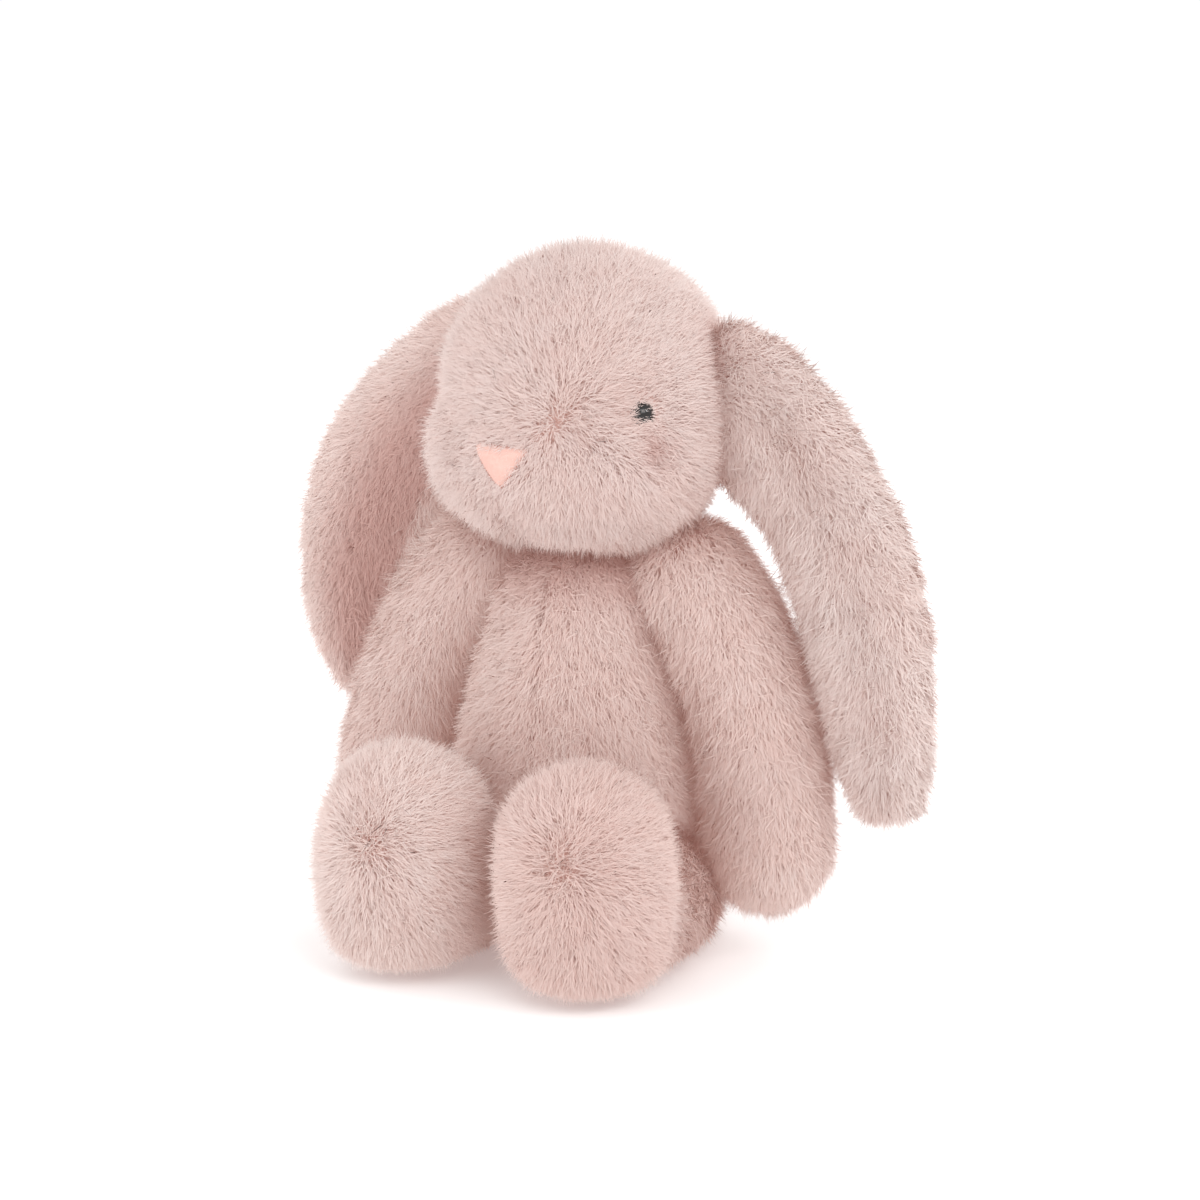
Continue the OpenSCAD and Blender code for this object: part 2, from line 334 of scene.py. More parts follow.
def path_of(rows, count=60):
    """Points, tangents and half widths along the path through the rows."""
    rows = np.array(rows, float)
    steps = np.linalg.norm(np.diff(rows[:, :3], axis=0), axis=1)
    knots = np.concatenate([[0], np.cumsum(steps)])
    along = smooth_through(knots, rows, np.linspace(0, knots[-1], count))
    return along[:, :3], unit(np.gradient(along[:, :3], axis=0)), along[:, 3]


def beside_path(points, rows):
    """For each point: the nearest tangent of the path, and how far across it lies, where -1 and 1
    are the edges. The path lies in the plane of x and z."""
    centre, tangent, half = path_of(rows)
    near = np.argmin(((points[:, None] - centre[None]) ** 2).sum(-1), axis=1)
    across = np.cross([0, 1, 0], tangent[near])
    return tangent[near], across, ((points - centre[near]) * across).sum(-1) / half[near]


EAR_FOLD = -0.15
FOLD_DEPTH = 0.6
EAR_CUP = 7


def cupped(grid, rows):
    """An ear that is thinner along its fold, with its inner edge set back by a square of how far
    across it lies, so that the face is a shallow cup."""
    share = beside_path(grid.reshape(-1, 3), rows)[2].reshape(grid.shape[:2])
    thin = 1 - FOLD_DEPTH * np.exp(-(((share - EAR_FOLD) / 0.2) ** 2))
    away = ease(grid[..., 0], 60, 85)
    back = EAR_CUP * ((1 + share) / 2).clip(0, 1) ** 2 * away
    y = grid[..., 1] * (1 - away + away * np.where(grid[..., 1] < 0, thin, 1)) + back
    return np.stack([grid[..., 0], y, grid[..., 2]], axis=-1)


def from_edge(side, points):
    """Distance from the ear's edge seam, in millimetres, taking the ear as 30 mm to each side."""
    share = beside_path(ear_unplace(side, points), EAR_ROWS[side])[2]
    return 30 * (1 - np.abs(share)).clip(0)


for side in SIDES:
    grid = cupped(limb(EAR_ROWS[side], (0, 1, 0), stations=64), EAR_ROWS[side])
    cover(side + "_ear_cover", side + "_ear", [ear_place(side, grid)],
          [side + "_ear_front_panel", side + "_ear_back_panel", side + "_ear_gather"], 0.3,
          lambda p, s=side: from_edge(s, p))
print("ears made")

# %% [markdown]
# ## Arms
# An arm is a soft sleeve from a high shoulder to a rounded paw that rests beside the body.

# %% Arm covers
def arm_place(side, points):
    """Arm points drawn for an unswung left arm, set on their own side at their swing."""
    shoulder = spot(side + "_arm_swing")
    stuffing = middle(side + "_arm_stuffing")
    lean = math.atan2(stuffing[1] - shoulder[1], shoulder[2] - stuffing[2])
    x, y, z = np.moveaxis(np.asarray(points, float), -1, 0)
    fall = z - shoulder[2]
    turned_y = y * math.cos(lean) - fall * math.sin(lean)
    turned_z = y * math.sin(lean) + fall * math.cos(lean)
    return np.stack([SIDES[side] * x, turned_y + shoulder[1], turned_z + shoulder[2]], axis=-1)


ARM_ROWS = [
    (46, 0, 150.5, 20.5, 20), (56, 0, 137, 21, 20), (69.5, 0, 112, 21, 19.5),
    (79, 0, 78, 21.5, 19.5), (81, 0, 47, 22, 20.5),
]
for side in SIDES:
    cover(side + "_arm_cover", side + "_arm", [arm_place(side, limb(ARM_ROWS, (0, 1, 0)))],
          [side + "_arm_front_panel", side + "_arm_back_panel"], 0.5)
print("arms made")

# %% [markdown]
# ## Legs
# A leg is a round thigh that goes into the torso, a short shin, and a tall foot that stands on
# its heel with the sole to the front. The shin and the foot are two grids that the remesh joins.

# %% Leg covers
FOOT = {side: middle(side + "_sole_panel") for side in SIDES}
LEG_LENGTH = 49


def leg_turn(side):
    """How far the leg points outwards from straight ahead, from the hip to the sole."""
    way = FOOT[side] - spot(side + "_leg_spread")
    return math.atan2(SIDES[side] * way[0], -way[1])


def leg_place(side, points):
    """Leg points drawn for a left leg straight ahead of its hip, on the ground."""
    hip = spot(side + "_leg_spread")
    turn = leg_turn(side)
    x, y, z = np.moveaxis(np.asarray(points, float), -1, 0)
    out = x * math.cos(turn) - y * math.sin(turn)
    ahead = x * math.sin(turn) + y * math.cos(turn)
    return np.stack([hip[0] + SIDES[side] * out, hip[1] + ahead, z], axis=-1)


def leg_unplace(side, points):
    """The frame's points in the axes that the leg is drawn in."""
    hip = spot(side + "_leg_spread")
    turn = leg_turn(side)
    out = SIDES[side] * (points[:, 0] - hip[0])
    ahead = points[:, 1] - hip[1]
    return np.stack([out * math.cos(turn) + ahead * math.sin(turn),
                     ahead * math.cos(turn) - out * math.sin(turn), points[:, 2]], axis=-1)


SHIN_ROWS = [(4, 2, 28, 29, 27), (3, -18, 27, 26, 25), (0, -34, 31, 25, 26)]
FOOT_ROWS = [
    (1, -LEG_LENGTH, 29, 26.5, 27), (1, -LEG_LENGTH - 1, 45, 28, 28),
    (0, -LEG_LENGTH - 1, 59, 27, 26.5),
]
for side in SIDES:
    grids = [leg_place(side, limb(SHIN_ROWS, (0, 0, 1), stations=24)),
             leg_place(side, limb(FOOT_ROWS, (0, 1, 0), stations=30))]
    cover(side + "_leg_fur_cover", side + "_leg", grids,
          [side + "_leg_cover", side + "_sole_panel"], 0.6)
print("legs made")

# %% [markdown]
# ## Stuffing the covers
# All covers are blown up together, so the frames are stepped through only once.

# %% Simulate
SEAM_WIDTH = 2.6
FRAMES = 20


def pin_seams(made):
    """A pin group on the points by a seam, for the cloth to hold."""
    piece = made["piece"]
    away = np.full(len(piece.data.vertices), 99.0)
    if made["seam"]:
        away = made["seam"](points_of(piece.data) / MM)
    group = piece.vertex_groups.new(name="seam")
    group.add(np.flatnonzero(away < SEAM_WIDTH).tolist(), 1.0, "REPLACE")


def blow_up(piece):
    """Cloth with air pressure inside, no weight, and the seam held."""
    cloth = piece.modifiers.new("cloth", "CLOTH")
    cloth.settings.quality = 4
    cloth.settings.mass = 0.2
    cloth.settings.tension_stiffness = 12
    cloth.settings.compression_stiffness = 12
    cloth.settings.use_pressure = True
    cloth.settings.uniform_pressure_force = 4
    cloth.settings.vertex_group_mass = "seam"
    cloth.settings.effector_weights.gravity = 0
    cloth.collision_settings.use_collision = False
    cloth.point_cache.frame_start = 1
    cloth.point_cache.frame_end = FRAMES


starts = {made["piece"].name: points_of(made["piece"].data) for made in covers}
for made in covers:
    pin_seams(made)
    blow_up(made["piece"])
for step in range(1, FRAMES + 1):
    bpy.context.scene.frame_set(step)
graph = bpy.context.evaluated_depsgraph_get()
for made in covers:
    piece = made["piece"]
    place = starts[piece.name]
    swollen = points_of(piece.evaluated_get(graph).data)
    move = swollen - place
    far = np.linalg.norm(move, axis=1, keepdims=True)
    place = place + move * np.minimum(1, MOST_SWELL / np.maximum(far, 1e-9))
    piece.modifiers.clear()
    piece.vertex_groups.clear()
    place[:, 2] = np.maximum(place[:, 2], GROUND)
    piece.data.vertices.foreach_set("co", place.astype(np.float32).ravel())
    piece.data.update()
    piece.data.shade_smooth()
    finer = piece.modifiers.new("finer", "SUBSURF")
    finer.levels = finer.render_levels = 1
    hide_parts(*made["nodes"])
bpy.context.scene.frame_set(1)
print(len(covers), "covers stuffed")

# %% [markdown]
# ## Colour helpers
# Colours are given as they look on a screen and turned into the linear values that a shader
# wants. The plush is blush pink: rose brown down at the backing, dusty pink along the pile, and
# frosted at the tips.

# %% Material helpers
def linear(red, green, blue):
    """Screen colour, 0 to 255, as linear light with full alpha."""
    share = np.array([red, green, blue]) / 255
    low = share / 12.92
    high = ((share + 0.055) / 1.055) ** 2.4
    return (*np.where(share <= 0.04045, low, high).tolist(), 1.0)


def material(name, **values):
    """A new node material with its shader, and constants on the shader's own sockets."""
    made = bpy.data.materials.new(name)
    made.use_nodes = True
    shader = made.node_tree.nodes["Principled BSDF"]
    for socket, value in values.items():
        shader.inputs[socket.replace("_", " ")].default_value = value
    return made, made.node_tree.nodes, made.node_tree.links, shader


def ramp(nodes, stops):
    """A colour ramp through (place, colour) stops."""
    made = nodes.new("ShaderNodeValToRGB")
    marks = made.color_ramp.elements
    for i, (place, colour) in enumerate(stops):
        mark = marks[i] if i < 2 else marks.new(place)
        mark.position = place
        mark.color = colour
    return made


def add_group(name, inputs, outputs):
    """A shader node group with named float or colour sockets, and its two ends."""
    tree = bpy.data.node_groups.new(name, "ShaderNodeTree")
    for label, kind, value in inputs:
        socket = tree.interface.new_socket(label, in_out="INPUT", socket_type=kind)
        socket.default_value = value
    for label, kind in outputs:
        tree.interface.new_socket(label, in_out="OUTPUT", socket_type=kind)
    return tree, tree.nodes.new("NodeGroupInput"), tree.nodes.new("NodeGroupOutput")


# %% [markdown]
# ## Blotches
# Dyed pile is never one even colour. This group makes a slow noise over the piece's own
# coordinates and gives a mask around a half, which each material mixes into its colour.

# %% Blotch group
BLOTCH, ends_in, ends_out = add_group(
    "slow_blotches",
    [("Size", "NodeSocketFloat", 60.0), ("Strength", "NodeSocketFloat", 0.5)],
    [("Mask", "NodeSocketFloat")])
where = BLOTCH.nodes.new("ShaderNodeTexCoord")
noise = BLOTCH.nodes.new("ShaderNodeTexNoise")
noise.inputs["Detail"].default_value = 3
spread = BLOTCH.nodes.new("ShaderNodeMapRange")
spread.inputs["From Min"].default_value = 0.3
spread.inputs["From Max"].default_value = 0.7
scale = BLOTCH.nodes.new("ShaderNodeMath")
scale.operation = "MULTIPLY"
BLOTCH.links.new(where.outputs["Object"], noise.inputs["Vector"])
BLOTCH.links.new(ends_in.outputs["Size"], noise.inputs["Scale"])
BLOTCH.links.new(noise.outputs["Fac"], spread.inputs["Value"])
BLOTCH.links.new(spread.outputs["Result"], scale.inputs[0])
BLOTCH.links.new(ends_in.outputs["Strength"], scale.inputs[1])
BLOTCH.links.new(scale.outputs["Value"], ends_out.inputs["Mask"])


def blotches(nodes, size, strength):
    """The group in a material, with its own size and strength."""
    made = nodes.new("ShaderNodeGroup")
    made.node_tree = BLOTCH
    made.inputs["Size"].default_value = size
    made.inputs["Strength"].default_value = strength
    return made


def mix(nodes, links, share, first, second):
    """A colour mixed by a socket; either colour is a socket or a constant."""
    made = nodes.new("ShaderNodeMix")
    made.data_type = "RGBA"
    links.new(share, made.inputs[0])
    for socket, value in ((made.inputs[6], first), (made.inputs[7], second)):
        if isinstance(value, tuple):
            socket.default_value = value
        else:
            links.new(value, socket)
    return made.outputs[2]


# %% [markdown]
# ## Plush pile
# Each strand carries three numbers on its points. How far along it the point is picks the colour
# from backing to tip, its own tint makes one strand a little paler than the next, on top of a
# paleness set per part that is painted light, and the third is painted shade: a deeper rose in
# creases between covers, under the eyes, in the right ear's cup and a little over the head and
# the left leg. Sheen gives the soft glow of fine fibres seen edge on. Real fibres let light through
# to the ones below, which a faint warm emission of its own stands for.

# %% Pile material
def pile_material():
    """Backing to tip colours along the strand, varied by strand and by slow blotches."""
    made, nodes, links, shader = material(
        "plush_pile", Roughness=0.8, Sheen_Weight=0.06, Sheen_Roughness=0.4,
        Emission_Strength=0.125)
    shader.inputs["Specular IOR Level"].default_value = 0.1
    shader.inputs["Sheen Tint"].default_value = linear(255, 235, 228)
    shader.inputs["Emission Color"].default_value = linear(212, 158, 146)
    along = nodes.new("ShaderNodeAttribute")
    along.attribute_name = "along"
    tint = nodes.new("ShaderNodeAttribute")
    tint.attribute_name = "tint"
    warm = ramp(nodes, [(0.0, linear(212, 183, 174)), (1.0, linear(225, 207, 200)),
                        (0.35, linear(218, 192, 183)), (0.7, linear(222, 200, 193))])
    pale = ramp(nodes, [(0.0, linear(214, 195, 189)), (1.0, linear(225, 217, 213)),
                        (0.35, linear(219, 205, 200)), (0.7, linear(222, 212, 208))])
    links.new(along.outputs["Fac"], warm.inputs["Fac"])
    links.new(along.outputs["Fac"], pale.inputs["Fac"])
    colour = mix(nodes, links, tint.outputs["Fac"], warm.outputs["Color"], pale.outputs["Color"])
    slow = blotches(nodes, 35.0, 0.35)
    colour = mix(nodes, links, slow.outputs["Mask"], colour, warm.outputs["Color"])
    # Painted shade: the colour is drawn towards a deeper rose as far as the strand's shade mark says.
    hollow = nodes.new("ShaderNodeAttribute")
    hollow.attribute_name = "hollow"
    colour = mix(nodes, links, hollow.outputs["Fac"], colour, linear(182, 134, 125))
    links.new(colour, shader.inputs["Base Color"])
    return made


def backing_material():
    """Knitted backing that the pile is tied into, seen only down a parting."""
    # The faint warm glow is painted light that lifts the shade down a parting.
    made, nodes, links, shader = material("plush_backing", Roughness=0.95, Emission_Strength=0.14)
    shader.inputs["Emission Color"].default_value = linear(205, 150, 138)
    slow = blotches(nodes, 300.0, 0.8)
    colour = mix(nodes, links, slow.outputs["Mask"], linear(202, 164, 155), linear(212, 178, 169))
    links.new(colour, shader.inputs["Base Color"])
    knit = nodes.new("ShaderNodeBump")
    knit.inputs["Distance"].default_value = 0.0004
    links.new(slow.outputs["Mask"], knit.inputs["Height"])
    links.new(knit.outputs["Normal"], shader.inputs["Normal"])
    return made


PILE = pile_material()
BACKING = backing_material()
for made in covers:
    made["piece"].data.materials.clear()
    made["piece"].data.materials.append(BACKING)

# %% [markdown]
# ## Growing the pile
# Strands are real geometry, because a hair system is lost when the model leaves Blender. Each is
# a thin leaf of two triangles, bent at its middle and pointed at both ends. Roots fall at random,
# evenly by area, on the cover's faces. A strand stands up from the cover, then bends the way
# the pile is brushed, and its tip is drawn towards the middle of its own tuft, which makes the
# locks that long pile forms. Everything is one array operation per cover.

# %% Strand helpers
def triangles_of(mesh, values):
    """Corner points of every triangle, and the point normals and values at those corners."""
    mesh.calc_loop_triangles()
    corners = np.empty(len(mesh.loop_triangles) * 3, np.int32)
    mesh.loop_triangles.foreach_get("vertices", corners)
    corners = corners.reshape(-1, 3)
    normals = np.empty(len(mesh.vertices) * 3, np.float32)
    mesh.vertices.foreach_get("normal", normals)
    normals = normals.reshape(-1, 3).astype(float)
    return points_of(mesh)[corners] / MM, normals[corners], values[corners]


def scatter(mesh, values, density, rng):
    """Random roots, density to a square millimetre, with smooth normals and values."""
    corners, normals, values = triangles_of(mesh, values)
    area = np.linalg.norm(
        np.cross(corners[:, 1] - corners[:, 0], corners[:, 2] - corners[:, 0]), axis=1) / 2
    count = int(area.sum() * density)
    face = rng.choice(len(area), size=count, p=area / area.sum())
    share = np.sqrt(rng.random(count))
    slide = rng.random(count)
    weight = np.stack([1 - share, share * (1 - slide), share * slide], axis=1)[..., None]
    normals = unit((normals[face] * weight).sum(1))
    return (corners[face] * weight).sum(1), normals, (values[face] * weight[..., 0]).sum(1)


def shuffle(cells, salt):
    """A fixed pseudo-random number from 0 to 1 for each cell of a grid."""
    mixed = cells @ np.array([12.9898, 78.233, 37.719]) + salt * 4.581
    return np.modf(np.abs(np.sin(mixed)) * 43758.5453)[0]


def tufts(roots, size):
    """The nearest tuft's middle and two of its own random numbers. Each cell of a grid holds one
    tuft at a random place."""
    base = np.floor(roots / size)
    best = np.full(len(roots), np.inf)
    middle_of = np.zeros_like(roots)
    picks = np.zeros((len(roots), 2))
    for step in np.ndindex(3, 3, 3):
        cell = base + np.array(step) - 1
        place = (cell + np.stack([shuffle(cell, s) for s in (1, 2, 3)], axis=1)) * size
        far = ((place - roots) ** 2).sum(1)
        nearer = far < best
        best = np.where(nearer, far, best)
        middle_of = np.where(nearer[:, None], place, middle_of)
        own = np.stack([shuffle(cell, 4), shuffle(cell, 5)], axis=1)
        picks = np.where(nearer[:, None], own, picks)
    return middle_of, picks


def sway(points, size, salt):
    """A slow, smooth wander of three components, the sum of two waves each way."""
    turned = points / size
    shift = np.array([0.0, 2.1, 4.2]) + salt
    first = np.sin(turned @ np.array([1.3, 0.7, -0.9])[:, None] * 2 + shift)
    second = np.sin(turned @ np.array([-0.6, 1.1, 1.4])[:, None] * 3.1 + shift * 1.7)
    return (first + second) / 2


# %% Blade mesh
LOWEST = 0.25


def blades(name, roots, mids, tips, sides, widths, marks, shading):
    """Leaf-shaped blades in one mesh, two triangles each: a root, two points across the middle and
    a tip. Light falls on them along the shading normals, as fine fibres take the shade of the coat
    that they are in."""
    count = len(roots)
    half = sides * widths[:, None] / 2
    points = np.stack([roots, mids - half, mids + half, tips], 1)
    points[..., 2] = np.maximum(points[..., 2], LOWEST)
    corners = np.array([0, 2, 1, 1, 2, 3]) + 4 * np.arange(count)[:, None]
    mesh = bpy.data.meshes.new(name)
    mesh.vertices.add(count * 4)
    mesh.vertices.foreach_set("co", (points * MM).astype(np.float32).ravel())
    mesh.loops.add(count * 6)
    mesh.loops.foreach_set("vertex_index", corners.astype(np.int32).ravel())
    mesh.polygons.add(count * 2)
    mesh.polygons.foreach_set("loop_start", np.arange(0, count * 6, 3, dtype=np.int32))
    along = mesh.attributes.new("along", "FLOAT", "POINT")
    along.data.foreach_set("value", np.tile([0, 0.5, 0.5, 1.0], count).astype(np.float32))
    for label, values in marks.items():
        mark = mesh.attributes.new(label, "FLOAT", "POINT")
        mark.data.foreach_set("value", np.repeat(values, 4).astype(np.float32))
    mesh.update(calc_edges=True)
    mesh.validate()
    mesh.shade_smooth()
    mesh.normals_split_custom_set_from_vertices(np.repeat(shading, 4, axis=0).tolist())
    mesh.materials.append(PILE)
    piece = bpy.data.objects.new(name, mesh)
    bpy.context.collection.objects.link(piece)
    return piece


# %% Grow
PILE_LENGTH = 12.4
DENSITY = 3.8
TUFT = 5.5
STRAND = 0.3
SOFTNESS = 0.88
# How much painted shade falls on pile in a crease where covers nearly touch.
CREASE_SHADE = 0.55
SQUASH = 0.3
CREASE = 8.0
SUNK = 0.6
WILD = 0.17
GATHER_MIDDLE = 0.08
GATHER_TIP = 0.22
by_name = {made["piece"].name: made for made in covers}


def pressed_on(points, others):
    """Near 1 where a point almost touches another cover, and near 0 a finger's width away: a bell
    curve of the distance to the nearest of the others. Two points' squared distance is the sum of
    their own squares less twice their product, so a block of points is one matrix product."""
    far = [(chunk**2).sum(1) + ((others**2).sum(1)[:, None] - 2 * others @ chunk.T).min(0)
           for chunk in np.array_split(points, len(points) // 400 + 1)]
    return np.exp(-np.concatenate(far).clip(0) / CREASE**2)


places = {name: points_of(made["piece"].data) / MM for name, made in by_name.items()}
for name, made in by_name.items():
    made["pressed"] = pressed_on(
        places[name], np.vstack([other for label, other in places.items() if label != name]))
print("creases measured on", len(places), "covers")


def grow(name, cover_name, brush, trim=None, part=None, shade_offset=None, seed=1, density=DENSITY,
         length=PILE_LENGTH, stand=0.42, pale=0.15):
    """Pile on a cover. brush(points) is the way the pile lies, and it stands more upright where
    that is short of 1. trim(points) is its share of the full length, and nothing grows under a
    twentieth. part(points) picks where this piece grows. The next argument, a function of the
    points, is painted shade on top of the painted crease shade, and below 0 it is painted light
    that takes some of that away. pale is how much of the paler tint it takes, painted light set
    per part."""
    rng = np.random.default_rng(seed)
    made = by_name[cover_name]
    roots, normals, pressed = scatter(made["piece"].data, made["pressed"], density, rng)
    share = np.ones(len(roots)) if trim is None else trim(roots)
    grows = share > 0.05
    if part is not None:
        grows &= part(roots)
    roots, normals, share, pressed = roots[grows], normals[grows], share[grows], pressed[grows]
    # Painted shade: deeper where covers nearly touch, plus the part's own shade; below 0 it is painted
    # light.
    hollow = (CREASE_SHADE * pressed + (0 if shade_offset is None else shade_offset(roots))).clip(0, 1)
    share = share * (1 - SQUASH * pressed)
    count = len(roots)
    centre, picks = tufts(roots, TUFT)
    lay = brush(roots) + 0.3 * sway(roots, 18, seed) + 0.3 * (picks[:, :1] - 0.5)
    lay = lay - (lay * normals).sum(1, keepdims=True) * normals
    lay = lay / np.maximum(np.linalg.norm(lay, axis=1, keepdims=True), 1)
    long = length * share * (0.85 + 0.12 * picks[:, 1] + 0.28 * rng.random(count))
    wild = rng.normal(0, WILD, (count, 3))
    lift = stand * (0.92 + 0.16 * picks[:, 0])[:, None]
    start = unit(normals * (lift + 0.35) + lay * 0.55 + wild)
    after = unit(normals * (lift - 0.25) + lay * 0.9 + wild * 2.2 - UP * 0.08)
    gather = centre - roots
    gather = gather - (gather * normals).sum(1, keepdims=True) * normals
    roots = roots - normals * SUNK
    mids = roots + start * (long * 0.5)[:, None] + gather * GATHER_MIDDLE
    tips = mids + after * (long * 0.5)[:, None] + gather * GATHER_TIP
    flat = unit(np.cross(normals, start + 1e-3))
    roll = rng.uniform(-0.5, 0.5, count)[:, None]
    sides = flat * np.cos(roll) + np.cross(start, flat) * np.sin(roll)
    facing = (np.cross(sides, start) * normals).sum(1, keepdims=True)
    sides = sides * np.where(facing < 0, -1, 1)
    widths = STRAND * (0.75 + 0.5 * rng.random(count))
    # The tint varies at random by tuft and by strand, on top of pale, which is painted light per part.
    tint = (pale + 0.25 * picks[:, 1] + 0.2 * rng.random(count)).clip(0, 1)
    own = unit(np.cross(sides, start))
    shading = unit(normals * SOFTNESS + own * (1 - SOFTNESS))
    marks = {"tint": tint, "hollow": hollow}
    piece = blades(name, roots, mids, tips, sides, widths, marks, shading)
    print(name, count, "strands")
    return piece


# %% [markdown]
# ## Pile that nobody would see
# Where a cover goes into the torso or the head, its pile would be shut inside. Real pile is
# trimmed out of such joins before they are sewn, so no strand is grown there.

# %% Where pile would be hidden
DEEP = 5.0


def deep_in_torso(points):
    """True for points well inside the torso, where pile of an arm or a leg would never show."""
    rows = np.array(torso_rows, float)
    wide = np.interp(points[:, 2], rows[:, 2], rows[:, 3]) - DEEP
    thick = np.interp(points[:, 2], rows[:, 2], rows[:, 4]) - DEEP
    within = (points[:, 2] > 8) & (points[:, 2] < rows[-1, 2] + 10)
    return within & ((points[:, 0] / wide) ** 2 + (points[:, 1] / thick) ** 2 < 1)


def deep_in_head(points):
    """True for points well inside the head, where pile of an ear or the neck would never show."""
    own = to_head(points)
    return np.linalg.norm(own, axis=1) < head_reach(unit(own)) - DEEP


# %% [markdown]
# ## Which way the pile is brushed
# Pile on the face grows out from a crown beside the nose, up over the forehead and back round the
# cheeks, and it parts a little above the crown. It is shaved short round the nose and the eyes so
# that they show, and a thread from each eye pulls a small hollow under it.

# %% Head pile
MUZZLE_CROWN = np.array([23, -57, -4])
UNDER_EYE = 10.0


def brush_head(points):
    """Away from the crown of the muzzle, falling on the back, parted above the crown."""
    own = to_head(points)
    way = unit(own - MUZZLE_CROWN)
    way = way + np.array([0, 0, -0.7]) * ease(own[:, 1], -20, 40)[:, None]
    way = way + np.array([0, 0, -0.35]) * ease(-own[:, 2], -10, 30)[:, None]
    beside = own[:, 0] - MUZZLE_CROWN[0]
    way[:, 0] += np.sign(beside) * np.exp(-np.abs(beside) / 5) * ease(own[:, 2], 5, 25) * 0.3
    near = np.linalg.norm(own - MUZZLE_CROWN, axis=1, keepdims=True)
    way = unit(way) * (0.5 + 0.6 * ease(near, 0, 9))
    way = way + sway(own, 1.3, 3.0) * (1 - ease(near, 0, 12)) * 1.2
    lay = way[:, :1] * HEAD_X + way[:, 1:2] * HEAD_Y + way[:, 2:] * UP
    for eye in EYES.values():
        out = points - eye
        far = np.linalg.norm(out, axis=1, keepdims=True)
        lay = lay + out / np.maximum(far, 1) * np.exp(-far / 6) * 0.9
    return lay


NOSE_OWN = to_head(NOSE)
NOSE_W = 24
NOSE_H = 15


def nose_inside(points, margin):
    """How far inside the nose's triangle a point lies, in millimetres, seen from the front."""
    own = to_head(points) - NOSE_OWN
    top = NOSE_H / 2 - own[:, 2]
    slope = math.atan2(NOSE_H, NOSE_W / 2)
    flank = (NOSE_W / 2 - np.abs(own[:, 0])) * math.sin(slope) - top * math.cos(slope)
    inside = np.minimum(top, flank) + margin
    return np.where(to_head(points)[:, 1] < -30, inside, -99)


def under_eye(points):
    """Distance in millimetres round the head to the nearer eye's hollow, just under the eye."""
    own = unit(to_head(points))
    hollows = [unit(to_head(eye) - np.array([0, 0, UNDER_EYE])) for eye in EYES.values()]
    return 56 * np.min([np.linalg.norm(own - place, axis=-1) for place in hollows], axis=0)


def trim_head(points):
    """Short by the nose and the eyes, and none under them."""
    inside = nose_inside(points, 0)
    share = 0.55 + 0.45 * ease(-inside, 2, 20)
    share = np.where(inside > 1.6, 0, share)
    for eye in EYES.values():
        far = np.linalg.norm(points - eye, axis=1)
        share = share * (0.32 + 0.68 * ease(far, 5, 17)) * (far > 5.6)
    return share * (0.45 + 0.55 * ease(under_eye(points), 1, 8))


def head_shade(points):
    """Painted shade: a little over the whole head, and more in the small hollow under each eye,
    a bell curve of the distance to it.
    """
    return 0.12 + 0.42 * np.exp(-(under_eye(points) / 5.5) ** 2)


# Both halves take pale=0.6, painted light that sets the head paler than the body.
head_left = grow("head_left_pile", "head_cover", brush_head, trim_head,
                 lambda p: to_head(p)[:, 0] > 0, head_shade, seed=11, pale=0.6)
head_right = grow("head_right_pile", "head_cover", brush_head, trim_head,
                  lambda p: to_head(p)[:, 0] <= 0, head_shade, seed=12, pale=0.6)

# %% [markdown]
# ## Pile on the torso, tail and neck
# It falls straight down, opening a little to the sides over the belly. The tail's pile grows
# outwards all round, like a pompom.

# %% Torso pile
def brush_torso(points):
    """Down, and a little away from the middle of the front."""
    way = np.tile([0.0, 0.0, -1.0], (len(points), 1))
    way[:, 0] += 0.3 * np.sign(points[:, 0]) * ease(-points[:, 1], -10, 30)
    return way


def seat_trim(points):
    """The pile under the seat is pressed short."""
    return 0.2 + 0.8 * ease(points[:, 2], 2, 20)


torso_front = grow("torso_front_pile", "torso_cover", brush_torso, seat_trim,
                   lambda p: p[:, 1] < 0, seed=21)
torso_back = grow("torso_back_pile", "torso_cover", brush_torso, seat_trim,
                  lambda p: p[:, 1] >= 0, seed=22)
tail_pile = grow("tail_pile", "tail_cover_fur_side", lambda p: p - TAIL - np.array([0, 9, 0]),
                 seed=23, length=12)
neck_pile = grow("neck_pile", "neck_cover", brush_torso, part=lambda p: ~deep_in_head(p),
                 seed=24, length=9)

# %% [markdown]
# ## Pile on the ears
# It runs down the ear and out to both edges from the fold down the middle. The front of the
# right ear gets painted shade, darkest towards the head, and the left ear painted light.

# %% Ear pile
ear_piles = {}
# Painted light and shade per ear: the right ear is set darker and the left ear paler.
EAR_SHADE_OFFSET = {"left": -0.5, "right": 0.62}
EAR_PAINTED_LIGHT = {"left": 0.75, "right": 0.3}


def brush_ear(side, points):
    """Along the ear, and away from the fold towards the nearer edge."""
    tangent, across, share = beside_path(ear_unplace(side, points), EAR_ROWS[side])
    spread_out = np.tanh((share - EAR_FOLD) * 3)[:, None] * across
    way = tangent + 0.55 * spread_out
    return SIDES[side] * way[:, :1] * HEAD_X + way[:, 1:2] * HEAD_Y + way[:, 2:] * UP


def ear_shade(side, points):
    """Painted shade in the cup of the right ear, more towards the head than on its rim. On the
    left ear it is below 0: painted light that takes away most of the crease shade.
    """
    share = beside_path(ear_unplace(side, points), EAR_ROWS[side])[2]
    return EAR_SHADE_OFFSET[side] * ease(share, -0.75, 0.1)


